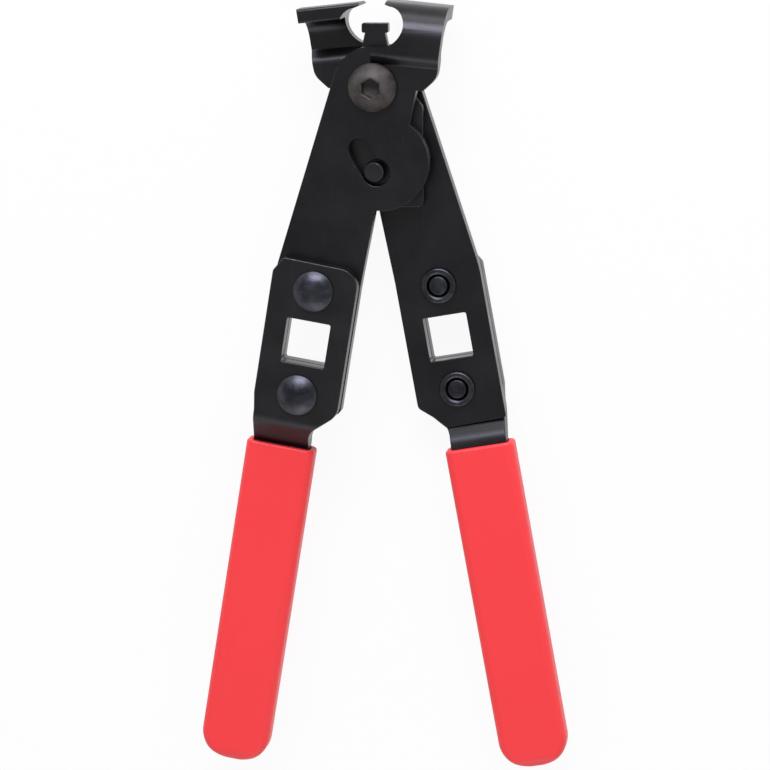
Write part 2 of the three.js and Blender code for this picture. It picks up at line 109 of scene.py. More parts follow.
def arm_place(side):
    """From the arm's own frame, with its origin in the drive hole, to the frame of the model."""
    arm = Matrix.Translation(DRIVE_HOLE) @ Matrix.Rotation(-ARM_TILT, 4, "Z")
    if side == "front":
        return Matrix.Translation(PIVOT) @ Matrix.Rotation(-OPEN_ANGLE, 4, "Z") @ arm
    turned_over = Matrix.Rotation(math.pi, 4, "Y")
    return Matrix.Translation(PIVOT) @ Matrix.Rotation(OPEN_ANGLE, 4, "Z") @ turned_over @ arm


# Settings.


def length(name, description, default):
    """A size, in metres."""
    return FloatProperty(
        name=name, description=description, default=default, min=0, unit="LENGTH", precision=5
    )


def angle(name, description, default):
    """An angle, in radians."""
    return FloatProperty(name=name, description=description, default=default, subtype="ANGLE")


def colour(name, description, default):
    """A colour, in linear light."""
    return FloatVectorProperty(
        name=name, description=description, default=default, size=3, min=0, max=1, subtype="COLOR"
    )


def share(name, description, default):
    """A share, from 0 to 1."""
    return FloatProperty(
        name=name, description=description, default=default, min=0, max=1, subtype="FACTOR"
    )


class PlateSettings(PropertyGroup):
    """Levers, handle bars and the anvil plate."""

    lever_rim: length("Lever Rim", "Rounding along the edges of the levers", 0.25 * MM)
    bar_rim: length("Bar Rim", "Rounding along the edges of the handle bars", 0.4 * MM)
    anvil_rim: length("Anvil Rim", "Rounding along the edges of the anvil plate", 0.25 * MM)
    rim_steps: IntProperty(name="Rim Steps", description="Facets across that rounding", default=3, min=1)
    lever_colour: colour("Lever", "Colour of the blackened levers", (0.035, 0.034, 0.037))
    bar_colour: colour("Handle Bar", "Colour of the blackened bars", (0.038, 0.038, 0.040))
    anvil_colour: colour("Anvil", "Colour of the anvil plate and its pin", (0.044, 0.043, 0.046))
    # Paler colour on the rounded edges: partly bare worn steel, partly a painted highlight. The amount
    # further down sets how much.
    worn_and_highlit_colour: colour("Worn and Highlit Edge", "Steel that shows where the blacking has worn", (0.13, 0.13, 0.14))
    roughness: share("Roughness", "Roughness of the levers and the anvil", 0.32)
    bar_roughness: share("Bar Roughness", "Roughness of the handle bars", 0.38)
    wear_and_highlight: share("Wear", "How far the edges have worn", 0.36)


class GripSettings(PropertyGroup):
    """Dipped vinyl grips, in the arm's frame."""

    top: length("Top", "From the drive hole down to the mouth of the grip", 32.6 * MM)
    reach: length("Length", "Length of the grip", 97.4 * MM)
    width: length("Width", "Across the broad face", 20.3 * MM)
    thickness: length("Thickness", "From the front face to the back", 8.8 * MM)
    long_edge: length("Long Edge", "Rounding along the sides", 2.6 * MM)
    lip: length("Lip", "Rounding round the mouth", 0.8 * MM)
    end_face: length("End From the Front", "Rounding of the closed end, seen from the front", 8.5 * MM)
    end_side: length("End From the Side", "Rounding of the closed end, seen from the side", 3.4 * MM)
    end_wall: length("End Wall", "Vinyl past the end of the bar", 2.4 * MM)
    bar_width: length("Bar Width", "Width of the bar inside", 16.5 * MM)
    bar_thickness: length("Bar Thickness", "Thickness of the bar inside", 5 * MM)
    bar_end: length("Bar End", "Rounding of the end of the bar inside", 6 * MM)
    bar_gap: length("Bar Gap", "From the bar to the vinyl round it", 0.06 * MM)
    offset: FloatProperty(
        name="Offset", description="Middle of the grip across the arm", default=-3.75 * MM, unit="LENGTH"
    )
    height: length("Height", "Middle of the grip from the plane between the levers", 1.5 * MM)
    colour: colour("Vinyl", "Colour of the grips", (1.0, 0.045, 0.052))
    shade: colour("Vinyl Shade", "The darker colour that the vinyl wanders to", (0.97, 0.038, 0.045))
    roughness: share("Roughness", "Roughness of the vinyl", 0.50)


class FastenerSettings(PropertyGroup):
    """Rivets, pivot screw, nut and cam pin."""

    around: IntProperty(name="Facets", description="Facets round each turned piece", default=72, min=12)
    rivet_head: length("Rivet Head", "Radius of the domed head", 5.8 * MM)
    rivet_height: length("Rivet Height", "Height of the domed head", 2.6 * MM)
    rivet_rim: length("Rivet Rim", "Height of the straight rim under the dome", 0.5 * MM)
    rivet_shank: length("Rivet Shank", "Radius of the shank", 3.3 * MM)
    rivet_tail: length("Rivet Tail", "Radius of the ring that the tail is formed to", 5.2 * MM)
    rivet_tail_height: length("Tail Height", "Height of that ring", 0.8 * MM)
    screw_head: length("Screw Head", "Radius of the pivot screw's head", 7 * MM)
    screw_height: length("Screw Height", "Height of that head", 4.4 * MM)
    screw_top: length("Screw Top", "Radius of the flat round the socket", 3.25 * MM)
    socket: length("Socket", "Across the flats of the socket", 5 * MM)
    socket_depth: length("Socket Depth", "Depth of the socket", 2.8 * MM)
    shoulder: length("Shoulder", "Radius that the levers turn on", 5 * MM)
    thread: length("Thread", "Outer radius of the thread", 4 * MM)
    pitch: length("Pitch", "Thread pitch", 1.25 * MM)
    nut_rim: length("Nut Rim", "Rounding along the edges of the nut", 0.15 * MM)
    nut_steps: IntProperty(name="Nut Steps", description="Facets across that rounding", default=2, min=1)
    pin: length("Cam Pin", "Radius of the cam pin", 2.8 * MM)
    rivet_colour: colour("Rivet", "Blued steel of the rivets", (0.057, 0.058, 0.069))
    rivet_roughness: share("Rivet Roughness", "Roughness of the rivets", 0.34)
    screw_colour: colour("Screw", "Phosphated steel of the screw and nut", (0.100, 0.089, 0.086))
    screw_roughness: share("Screw Roughness", "Roughness of the screw and nut", 0.64)


class StageSettings(PropertyGroup):
    """Floor, camera and light."""

    floor_colour: colour("Floor", "Colour of the floor", (0.90, 0.90, 0.90))
    floor_reach: length("Floor Reach", "From the middle to the foot of the backdrop", 2.6)
    floor_bend: length("Floor Bend", "Radius that the floor turns up with", 0.5)
    backdrop: length("Backdrop", "Height of the backdrop", 1.6)
    lens: FloatProperty(name="Lens", description="Focal length", default=164.65, unit="CAMERA", min=1)
    azimuth: angle("Azimuth", "How far the camera stands to the right", math.radians(9.3))
    lift: angle("Lift", "How far the camera stands past the jaws", math.radians(10.241))
    roll: angle("Roll", "Camera turned on its axis", math.radians(-0.714))
    distance: length("Distance", "From the camera to the point that it looks at", 1.026148)
    aim: FloatVectorProperty(
        name="Aim",
        description="Point in the middle of the view, from the pivot",
        default=(1.428 * MM, -87.461 * MM, 0),
        subtype="XYZ",
        unit="LENGTH",
    )
    world: FloatProperty(name="World", description="Light from all round", default=0.42, min=0)


# Meshes.


def add_piece(name, bm, body, material, nodes):
    """A finished bmesh as an object that rides on a body and stands for the model's own nodes."""
    mesh = bpy.data.meshes.new(name)
    bm.to_mesh(mesh)
    bm.free()
    mesh.materials.append(material)
    piece = bpy.data.objects.new(name, mesh)
    bpy.context.scene.collection.objects.link(piece)
    normals = piece.modifiers.new("Flat faces stay flat", "WEIGHTED_NORMAL")
    normals.keep_sharp = True
    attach(piece, body)
    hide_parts(*nodes)


def is_lever_rim(edge):
    """Whether an edge of a lever is rounded: those along its level faces, except round the mouth."""
    middle = (edge.verts[0].co + edge.verts[1].co) / 2
    at_mouth = abs(middle.x) < MOUTH_HALF_WIDTH and middle.y > MOUTH_FOOT
    return not at_mouth and any(abs(face.normal.z) > LEVEL for face in edge.link_faces)


def rounded_copy(node, rim, steps, is_rim=None):
    """A copy of a node's solid, in whole faces, with its sharp outer edges rounded and marked."""
    bm = bmesh.new()
    bm.from_mesh(frame["nodes"][node].data)
    bmesh.ops.remove_doubles(bm, verts=bm.verts, dist=MERGE)
    bmesh.ops.dissolve_limit(bm, angle_limit=FLAT_ANGLE, verts=bm.verts, edges=bm.edges)
    bmesh.ops.remove_doubles(bm, verts=bm.verts, dist=SHORT_EDGE)
    edge_layer = bm.loops.layers.float.new(EDGE_LAYER)
    rims = [e for e in bm.edges if e.is_manifold and e.is_convex and e.calc_face_angle() > RIM_ANGLE]
    if is_rim:
        rims = [e for e in rims if is_rim(e)]
    made = bmesh.ops.bevel(
        bm,
        geom=rims,
        offset=rim,
        offset_type="OFFSET",
        segments=steps,
        profile=0.5,
        affect="EDGES",
        clamp_overlap=False,
        material=-1,
    )
    for face in made["faces"]:
        for loop in face.loops:
            loop[edge_layer] = 1.0
    smooth(bm)
    return bm


def smooth(bm, sharp_angle=SHARP_ANGLE):
    """Shades the faces smooth, and sharp across the edges that turn by more than the angle."""
    for face in bm.faces:
        face.smooth = True
    for edge in bm.edges:
        edge.smooth = not edge.is_manifold or edge.calc_face_angle() < sharp_angle


def extrude_ring(bm, ring):
    """Extrudes a ring of edges where it stands, and returns the new ring and its points."""
    made = bmesh.ops.extrude_edge_only(bm, edges=ring)["geom"]
    edges = [g for g in made if isinstance(g, bmesh.types.BMEdge) and g.is_boundary]
    return edges, [g for g in made if isinstance(g, bmesh.types.BMVert)]


def revolve(bm, profile, around, place):
    """Turns a profile of (radius, height) points about Z and puts the result in place."""
    verts = [bm.verts.new((r, 0, z)) for r, z in profile]
    edges = [bm.edges.new(pair) for pair in zip(verts, verts[1:])]
    bmesh.ops.spin(
        bm,
        geom=verts + edges,
        cent=(0, 0, 0),
        axis=(0, 0, 1),
        angle=FULL_TURN,
        steps=around,
        use_merge=True,
    )
    bmesh.ops.remove_doubles(bm, verts=bm.verts, dist=MERGE)
    bmesh.ops.transform(bm, matrix=place, verts=bm.verts)


def arc_points(centre_r, centre_z, radius, start, end, steps):
    """Points of an arc in a profile, both ends included."""
    angles = [start + (end - start) * i / steps for i in range(steps + 1)]
    return [(centre_r + radius * math.cos(a), centre_z + radius * math.sin(a)) for a in angles]


def rounded_point(turn, half_width, half_height, radius):
    """The point of a rounded rectangle that faces the angle given."""
    across, up = math.cos(turn), math.sin(turn)
    return (
        math.copysign(half_width - radius, across) + radius * across,
        math.copysign(half_height - radius, up) + radius * up,
    )


def grip_stations(grip):
    """Outer skin from the mouth to the end: (depth, half width, half thickness, corner radius)."""
    lip_steps, straight_steps, end_steps = 5, 14, 16
    least_corner = 1 * MM
    corner_share = 0.98
    half_w, half_t = grip.width / 2, grip.thickness / 2
    stations = []
    for i in range(lip_steps + 1):
        turn = QUARTER_TURN * i / lip_steps
        inset = grip.lip * (1 - math.sin(turn))
        depth = grip.lip * (1 - math.cos(turn))
        corner = max(grip.long_edge - inset, least_corner)
        stations.append((depth, half_w - inset, half_t - inset, corner))
    first, last = grip.lip, grip.reach - grip.end_face
    for i in range(1, straight_steps + 1):
        depth = first + (last - first) * i / straight_steps
        stations.append((depth, half_w, half_t, grip.long_edge))
    for i in range(1, end_steps + 1):
        turn = QUARTER_TURN * i / end_steps
        left = grip.end_face * (1 - math.sin(turn))
        inset_w = grip.end_face * (1 - math.cos(turn))
        inset_t = 0.0
        if left < grip.end_side:
            inset_t = grip.end_side - math.sqrt(grip.end_side**2 - (grip.end_side - left) ** 2)
        width, height = half_w - inset_w, half_t - inset_t
        corner = min(grip.long_edge, width * corner_share, height * corner_share)
        stations.append((grip.reach - left, width, height, corner))
    return stations


def hollow_stations(grip):
    """The hollow from its softened mouth to its rounded end, laid out as the outer skin is."""
    end_steps = 8
    corner = 0.4 * MM
    half_w = grip.bar_width / 2 + grip.bar_gap
    half_t = grip.bar_thickness / 2 + grip.bar_gap
    stations = [
        (0, half_w + corner, half_t + corner, corner * 2),
        (corner / 3, half_w + corner / 3, half_t + corner / 3, corner),
        (corner, half_w, half_t, corner),
    ]
    for i in range(end_steps + 1):
        turn = QUARTER_TURN * i / end_steps
        left = grip.end_wall + grip.bar_end * (1 - math.sin(turn))
        inset = grip.bar_end * (1 - math.cos(turn))
        stations.append((grip.reach - left, half_w - inset, half_t, corner))
    return stations


def grip_mesh(grip, place):
    """A sleeve of dipped vinyl: outer skin, rounded mouth and the hollow that the bar fills."""
    around = 64
    bm = bmesh.new()
    turn_layer = bm.verts.layers.float.new(TURN_LAYER)
    circle = bmesh.ops.create_circle(bm, segments=around, radius=1)["verts"]
    for vert in circle:
        vert[turn_layer] = math.atan2(vert.co.y, vert.co.x) + math.pi / around

    def set_points(verts, depth, half_w, half_t, radius):
        for vert in verts:
            x, z = rounded_point(vert[turn_layer], half_w, half_t, radius)
            vert.co = (grip.offset + x, -grip.top - depth, grip.height + z)

    mouth, *skin = grip_stations(grip)
    set_points(circle, *mouth)
    start = list(bm.edges)
    for stations in (skin, hollow_stations(grip)):
        ring = start
        for station in stations:
            ring, verts = extrude_ring(bm, ring)
            set_points(verts, *station)
        bmesh.ops.contextual_create(bm, geom=ring)
    bmesh.ops.recalc_face_normals(bm, faces=bm.faces)
    bmesh.ops.transform(bm, matrix=place, verts=bm.verts)
    smooth(bm)
    return bm


def rivet_mesh(part, place):
    """Domed head on the handle bar, shank, and a tail formed to a ring, with a groove inside the ring."""
    seat = BAR_OUTER + SEAT_GAP
    tail_seat = LEVER_INNER - SEAT_GAP
    tail = tail_seat - part.rivet_tail_height
    dome_steps = 12
    dome_height = part.rivet_height - part.rivet_rim
    dome_radius = (part.rivet_head**2 + dome_height**2) / (2 * dome_height)
    dome_angle = math.asin(part.rivet_head / dome_radius)
    dome_centre = seat + part.rivet_height - dome_radius
    soft = 0.2 * MM
    dish = 3.4 * MM
    groove = 3.0 * MM
    well = 2.65 * MM
    profile = [
        (0, tail + 0.5 * soft),
        (well - soft, tail + 0.5 * soft),
        (well, tail + soft),
        (groove, tail + 7 * soft),
        (dish, tail + soft),
        (dish + soft, tail + 0.3 * soft),
        (part.rivet_tail - 5 * soft, tail - soft),
        (part.rivet_tail - 2 * soft, tail - soft),
        (part.rivet_tail - 0.6 * soft, tail + 0.2 * soft),
        (part.rivet_tail, tail + 1.6 * soft),
        (part.rivet_tail, tail_seat),
        (part.rivet_shank, tail_seat),
        (part.rivet_shank, seat),
        (part.rivet_head - soft, seat),
        (part.rivet_head, seat + soft),
    ]
    dome = arc_points(0, dome_centre, dome_radius, QUARTER_TURN - dome_angle, QUARTER_TURN, dome_steps)
    profile += dome[:-1] + [(0, seat + part.rivet_height)]
    bm = bmesh.new()
    revolve(bm, profile, part.around, place)
    bmesh.ops.recalc_face_normals(bm, faces=bm.faces)
    smooth(bm)
    return bm


def crown_points(part, base, rise):
    """The crown of the screw's head: part of a ball, from the rim up to the flat round the socket."""
    steps = 14
    drop = (part.screw_head**2 - part.screw_top**2 - rise**2) / (2 * rise)
    radius = math.hypot(part.screw_head, drop)
    start, finish = math.asin(drop / radius), math.acos(part.screw_top / radius)
    return arc_points(0, base - drop, radius, start, finish, steps)


def thread_points(part, end, top):
    """The threaded end, from its chamfered tip to the shoulder, with a crest and a root for each turn."""
    depth = 0.55 * MM
    chamfer = 0.1 * MM
    tip = 0.6 * MM
    core = part.thread - depth
    points = [(0, end), (core - chamfer, end), (core, end + chamfer)]
    height = end + tip
    while height + part.pitch < top - part.pitch:
        points += [(part.thread, height), (core, height + part.pitch / 2)]
        height += part.pitch
    return points + [(part.thread, height), (part.thread, top)]


def hexagon_reach(turn, flats):
    """From the middle of a hexagon, with a corner on +Y, to its outline."""
    sixth = math.pi / 3
    return flats / 2 / math.cos((turn - QUARTER_TURN) % sixth - sixth / 2)


def screw_mesh(part, place):
    """Button head with a hexagon socket, shoulder, and a threaded end with a chamfer."""
    nut_thickness = 5 * MM
    past_nut = 1 * MM
    rim = 0.9 * MM
    soft = 0.25 * MM
    floor_share = 0.8
    seat = LEVER_OUTER + SEAT_GAP
    top = seat + part.screw_height
    end = -(seat + nut_thickness + past_nut)
    profile = thread_points(part, end, -seat)
    profile += [
        (part.shoulder - soft, -seat),
        (part.shoulder, -seat + soft),
        (part.shoulder, seat),
        (part.screw_head - soft, seat),
        (part.screw_head, seat + soft),
    ]
    profile += crown_points(part, seat + rim, part.screw_height - rim)
    bm = bmesh.new()
    revolve(bm, profile, part.around, Matrix.Identity(4))
    ring = [e for e in bm.edges if e.is_boundary]
    flats, depth = part.socket, part.socket_depth
    for across, sunk in (
        (flats + 2 * soft, 0),
        (flats, soft),
        (flats, depth),
        (floor_share * flats, depth),
    ):
        ring, verts = extrude_ring(bm, ring)
        for vert in verts:
            turn = math.atan2(vert.co.y, vert.co.x)
            reach = hexagon_reach(turn, across)
            vert.co = (reach * math.cos(turn), reach * math.sin(turn), top - sunk)
    floor = bmesh.ops.contextual_create(bm, geom=ring)["faces"]
    centre = bmesh.ops.poke(bm, faces=floor)["verts"]
    bmesh.ops.translate(bm, vec=(0, 0, -2 * soft), verts=centre)
    bmesh.ops.transform(bm, matrix=place, verts=bm.verts)
    bmesh.ops.recalc_face_normals(bm, faces=bm.faces)
    smooth(bm, SCREW_SHARP_ANGLE)
    return bm


def pin_mesh(part, place):
    """The cam pin: a pin with a faint collar in the anvil plate, its ends chamfered and dished."""
    proud = 0.4 * MM
    chamfer = 0.3 * MM
    dish = 0.1 * MM
    collar_half = 1.3 * MM
    collar = part.pin + PIN_FIT
    end = LEVER_OUTER + proud
    profile = [
        (0, -end + dish),
        (part.pin - 2 * chamfer, -end),
        (part.pin - chamfer, -end),
        (part.pin, chamfer - end),
        (part.pin, -collar_half),
        (collar, -collar_half),
        (collar, collar_half),
        (part.pin, collar_half),
        (part.pin, end - chamfer),
        (part.pin - chamfer, end),
        (part.pin - 2 * chamfer, end),
        (0, end - dish),
    ]
    bm = bmesh.new()
    revolve(bm, profile, part.around, place)
    bmesh.ops.recalc_face_normals(bm, faces=bm.faces)
    smooth(bm, PIN_SHARP_ANGLE)
    return bm


# Node groups and materials.


def add_node(tree, kind, inputs=None, **values):
    """A node with its properties set, and its inputs linked or given their values."""
    made = tree.nodes.new(kind)
    for key, value in values.items():
        setattr(made, key, value)
    for key, value in (inputs or {}).items():
        if isinstance(value, bpy.types.NodeSocket):
            tree.links.new(value, made.inputs[key])
        else:
            made.inputs[key].default_value = value
    return made


def math_node(tree, operation, *values):
    """The result of a sum on sockets and numbers."""
    return add_node(tree, "ShaderNodeMath", dict(enumerate(values)), operation=operation).outputs[0]


def ranged(tree, value, low, high, to_low=0.0, to_high=1.0):
    """A value that lies between two limits, spread out between two others and kept within them."""
    made = add_node(
        tree,
        "ShaderNodeMapRange",
        {"Value": value, "From Min": low, "From Max": high, "To Min": to_low, "To Max": to_high},
        clamp=True,
    )
    return made.outputs["Result"]


def stretched(tree, vector, scale, turn=(0, 0, 0)):
    """Coordinates that make a pattern finer along each axis by its scale, and turn it."""
    made = add_node(tree, "ShaderNodeMapping", {"Vector": vector, "Scale": scale, "Rotation": turn})
    return made.outputs["Vector"]


def noise(tree, vector, scale, detail=3.0, roughness=0.55):
    """Cloudy noise from 0 to 1, whose scale is about the number of clouds to a unit of the vector."""
    made = add_node(
        tree,
        "ShaderNodeTexNoise",
        {"Vector": vector, "Scale": scale, "Detail": detail, "Roughness": roughness},
    )
    return made.outputs["Fac"]


def number_input(label, default):
    """A number that a node group takes."""
    return (label, "NodeSocketFloat", default)


def vector_input(label):
    """A vector that a node group takes."""
    return (label, "NodeSocketVector", None)


def shader_group(name, inputs, outputs, build):
    """A shader node group, built once: its inputs with their defaults, and its outputs."""
    tree = bpy.data.node_groups.get(name)
    if tree:
        return tree
    tree = bpy.data.node_groups.new(name, "ShaderNodeTree")
    for label, kind, default in inputs:
        socket = tree.interface.new_socket(label, in_out="INPUT", socket_type=kind)
        if default is not None:
            socket.default_value = default
    for label in outputs:
        tree.interface.new_socket(label, in_out="OUTPUT", socket_type="NodeSocketFloat")
    source = tree.nodes.new("NodeGroupInput").outputs
    sink = tree.nodes.new("NodeGroupOutput").inputs
    for label, value in build(tree, source).items():
        tree.links.new(value, sink[label])
    return tree


def grain_group():
    """Fine unevenness of a surface, as a height."""
    wave_share = 0.22

    def build(tree, source):
        fine = noise(tree, source["Vector"], source["Scale"], detail=4.0, roughness=0.6)
        wave_scale = math_node(tree, "MULTIPLY", source["Scale"], wave_share)
        waves = noise(tree, source["Vector"], wave_scale, detail=2.0)
        return {"Height": math_node(tree, "MULTIPLY_ADD", waves, source["Waves"], fine)}

    inputs = [vector_input("Vector"), number_input("Scale", 1500.0), number_input("Waves", 1.0)]
    return shader_group("Surface Grain", inputs, ["Height"], build)


def wear_and_highlight_group():
    """Where the rounded edges turn paler, broken up by noise: partly the coat worn off, partly a painted
    highlight.
    """
    untouched = 0.78
    amount_share = 0.5
    fade = 0.12

    def build(tree, source):
        patches = noise(tree, source["Vector"], source["Patches"], detail=4.0, roughness=0.65)
        amount = math_node(tree, "MULTIPLY", source["Amount"], amount_share)
        reach = math_node(tree, "SUBTRACT", untouched, amount)
        worn = ranged(tree, math_node(tree, "SUBTRACT", patches, reach), 0.0, fade)
        return {"Mask": math_node(tree, "MULTIPLY", worn, source["Edge"])}

    inputs = [
        vector_input("Vector"),
        number_input("Edge", 0.0),
        number_input("Amount", 0.4),
        number_input("Patches", 260.0),
    ]
    return shader_group("Edge Wear and Highlight", inputs, ["Mask"], build)


def marks_group():
    """Smudges from handling and fine scratches, each as a mask."""
    smudge_low, smudge_high = 0.32, 0.68
    scratch_low, scratch_high = 0.66, 0.74
    scratch_stretch = (1600.0, 60.0, 60.0)
    scratch_turns = (0.5, 2.3)

    def build(tree, source):
        clouds = noise(tree, source["Vector"], source["Smudges"], detail=4.0, roughness=0.6)
        smudge = ranged(tree, clouds, smudge_low, smudge_high)
        scratches = None
        for turn in scratch_turns:
            laid = stretched(tree, source["Vector"], scratch_stretch, (0.0, 0.0, turn))
            line = ranged(tree, noise(tree, laid, 1.0, detail=2.0), scratch_low, scratch_high)
            scratches = line if scratches is None else math_node(tree, "MAXIMUM", scratches, line)
        return {"Smudge": smudge, "Scratch": scratches}

    inputs = [vector_input("Vector"), number_input("Smudges", 60.0)]
    return shader_group("Handling Marks", inputs, ["Smudge", "Scratch"], build)


def sheared_group():
    """Upright streaks that punching leaves on the walls of a plate."""
    sloping, upright = 0.5, 0.2
    streak_stretch = (2600.0, 2600.0, 120.0)

    def build(tree, source):
        up = add_node(tree, "ShaderNodeSeparateXYZ", {"Vector": source["Normal"]}).outputs["Z"]
        wall = ranged(tree, math_node(tree, "ABSOLUTE", up), sloping, upright)
        streak = noise(tree, stretched(tree, source["Vector"], streak_stretch), 1.0)
        return {"Height": math_node(tree, "MULTIPLY", streak, wall), "Wall": wall}

    inputs = [vector_input("Vector"), vector_input("Normal")]
    return shader_group("Sheared Wall", inputs, ["Height", "Wall"], build)


def add_group(tree, group, inputs):
    """The outputs of a node group that a material uses with its own values."""
    return add_node(tree, "ShaderNodeGroup", inputs, node_tree=group).outputs


def opaque(tint):
    """A colour with its alpha, or the socket that gives the colour."""
    return tint if isinstance(tint, bpy.types.NodeSocket) else (*tint, 1)


def mixed(tree, factor, first, second):
    """A colour between two others, which a Mix node takes at inputs 6 and 7 and gives at output 2."""
    inputs = {0: factor, 6: opaque(first), 7: opaque(second)}
    return add_node(tree, "ShaderNodeMix", inputs, data_type="RGBA").outputs[2]


def new_material(name, **sockets):
    """A material whose Principled BSDF has these plain numbers, with its tree, shader and coordinates."""
    material = bpy.data.materials.new(name)
    material.use_nodes = True
    tree = material.node_tree
    shader = tree.nodes["Principled BSDF"]
    for key, value in sockets.items():
        shader.inputs[key.replace("_", " ")].default_value = value
    coordinates = tree.nodes.new("ShaderNodeTexCoord").outputs
    return material, tree, shader, coordinates


def bumped(tree, shader, height, depth):
    """Turns a height into relief on the surface, where a height of 1 stands out by the depth."""
    inputs = {"Height": height, "Distance": depth, "Strength": 1.0}
    bump = add_node(tree, "ShaderNodeBump", inputs)
    tree.links.new(bump.outputs["Normal"], shader.inputs["Normal"])


def toned(base, factor):
    """A colour made darker or paler by a factor."""
    return tuple(min(1.0, c * factor) for c in base)


def blackened_steel(name, base, plate, roughness):
    """Black oxide on punched plate: dull smudges, a few scratches, sheared walls, and rounded edges
    painted paler, partly as wear and partly as a painted highlight.
    """
    dark, pale = 0.86, 1.14
    scratched_share, worn_and_highlit_share = 0.07, 0.6
    swing, wall_shine, worn_shine = 0.05, 0.02, 0.08
    streak_height, scratch_depth = 2.2, 0.5
    relief = 0.012 * MM
    material, tree, shader, at = new_material(name, Metallic=0.9)
    place = {"Vector": at["Object"]}
    grain = add_group(tree, grain_group(), {**place, "Scale": 1700.0, "Waves": 0.8})
    marks = add_group(tree, marks_group(), {**place, "Smudges": 70.0})
    walls = add_group(tree, sheared_group(), {**place, "Normal": at["Normal"]})
    edge = add_node(tree, "ShaderNodeAttribute", attribute_name=EDGE_LAYER).outputs["Fac"]
    inputs = {**place, "Edge": edge, "Amount": plate.wear_and_highlight, "Patches": 300.0}
    wear_and_highlight = add_group(tree, wear_and_highlight_group(), inputs)["Mask"]
    bare_and_highlit = tuple(plate.worn_and_highlit_colour)
    coat = mixed(tree, marks["Smudge"], toned(base, dark), toned(base, pale))
    coat = mixed(tree, math_node(tree, "MULTIPLY", marks["Scratch"], scratched_share), coat, bare_and_highlit)
    # Rounded edges go paler: partly worn steel, partly a painted highlight along them.
    coat = mixed(tree, math_node(tree, "MULTIPLY", wear_and_highlight, worn_and_highlit_share), coat, bare_and_highlit)
    tree.links.new(coat, shader.inputs["Base Color"])
    rough = ranged(tree, marks["Smudge"], 0.0, 1.0, roughness - swing, roughness + swing)
    rough = math_node(tree, "MULTIPLY_ADD", walls["Wall"], -wall_shine, rough)
    rough = math_node(tree, "MULTIPLY_ADD", wear_and_highlight, -worn_shine, rough)
    tree.links.new(rough, shader.inputs["Roughness"])
    height = math_node(tree, "MULTIPLY_ADD", walls["Height"], streak_height, grain["Height"])
    height = math_node(tree, "MULTIPLY_ADD", marks["Scratch"], -scratch_depth, height)
    bumped(tree, shader, height, relief)
    return material


def turned_steel(name, base, roughness, ring_centre=None):
    """Blued or phosphated steel with a mottled coat, and faint rings from turning if a centre is given."""
    dark, pale = 0.62, 1.32
    scratched, scratched_share = 1.9, 0.3
    shinier, duller = 0.06, 0.08
    ring_height = 1.2
    relief = 0.012 * MM
    material, tree, shader, at = new_material(name, Metallic=1.0)
    place = {"Vector": at["Object"]}
    grain = add_group(tree, grain_group(), {**place, "Scale": 2400.0, "Waves": 1.2})
    marks = add_group(tree, marks_group(), {**place, "Smudges": 320.0})
    coat = mixed(tree, marks["Smudge"], toned(base, dark), toned(base, pale))
    scratches = math_node(tree, "MULTIPLY", marks["Scratch"], scratched_share)
    coat = mixed(tree, scratches, coat, toned(base, scratched))
    tree.links.new(coat, shader.inputs["Base Color"])
    rough = ranged(tree, marks["Smudge"], 0.0, 1.0, roughness - shinier, roughness + duller)
    tree.links.new(rough, shader.inputs["Roughness"])
    height = grain["Height"]
    if ring_centre is not None:
        centring = add_node(tree, "ShaderNodeMapping", {**place, "Location": -ring_centre})
        centred = {"Vector": centring.outputs["Vector"]}
        rings = add_node(
            tree,
            "ShaderNodeTexWave",
            {**centred, "Scale": 900.0, "Distortion": 1.5, "Detail": 2.0},
            wave_type="RINGS",
            rings_direction="Z",
        ).outputs["Fac"]
        height = math_node(tree, "MULTIPLY_ADD", rings, ring_height, height)
    bumped(tree, shader, height, relief)
    return material


def dipped_vinyl(grip):
    """Soft red vinyl with the slow waves and fine peel of a dipped coat."""
    shade_share = 0.55
    shinier, duller, scratch_dulls = 0.05, 0.06, 0.06
    scratch_depth = 0.4
    relief = 0.02 * MM
    material, tree, shader, at = new_material("dipped_vinyl", Coat_Weight=0.12, Coat_Roughness=0.3)
    place = {"Vector": at["Object"]}
    grain = add_group(tree, grain_group(), {**place, "Scale": 1300.0, "Waves": 1.6})
    marks = add_group(tree, marks_group(), {**place, "Smudges": 42.0})
    tone = math_node(tree, "MULTIPLY", marks["Smudge"], shade_share)
    tree.links.new(mixed(tree, tone, tuple(grip.colour), tuple(grip.shade)), shader.inputs["Base Color"])
    rough = ranged(tree, marks["Smudge"], 0.0, 1.0, grip.roughness - shinier, grip.roughness + duller)
    rough = math_node(tree, "MULTIPLY_ADD", marks["Scratch"], scratch_dulls, rough)
    tree.links.new(rough, shader.inputs["Roughness"])
    height = math_node(tree, "MULTIPLY_ADD", marks["Scratch"], -scratch_depth, grain["Height"])
    bumped(tree, shader, height, relief)
    return material


# Floor, light and camera.


def floor_mesh(stage):
    """A round floor that turns up into a low backdrop."""
    around, steps = 96, 10
    bm = bmesh.new()
    bmesh.ops.create_circle(bm, cap_ends=True, segments=around, radius=stage.floor_reach)
    ring = [e for e in bm.edges if e.is_boundary]
    for i in range(1, steps + 2):
        ring, verts = extrude_ring(bm, ring)
        turn = QUARTER_TURN * min(i / steps, 1)
        reach = stage.floor_reach + stage.floor_bend * math.sin(turn)
        rise = stage.floor_bend * (1 - math.cos(turn)) if i <= steps else stage.backdrop
        for vert in verts:
            out = Vector((vert.co.x, vert.co.y)).normalized() * reach
            vert.co = (out.x, out.y, rise)
    bmesh.ops.recalc_face_normals(bm, faces=bm.faces)
    smooth(bm)
    return bm


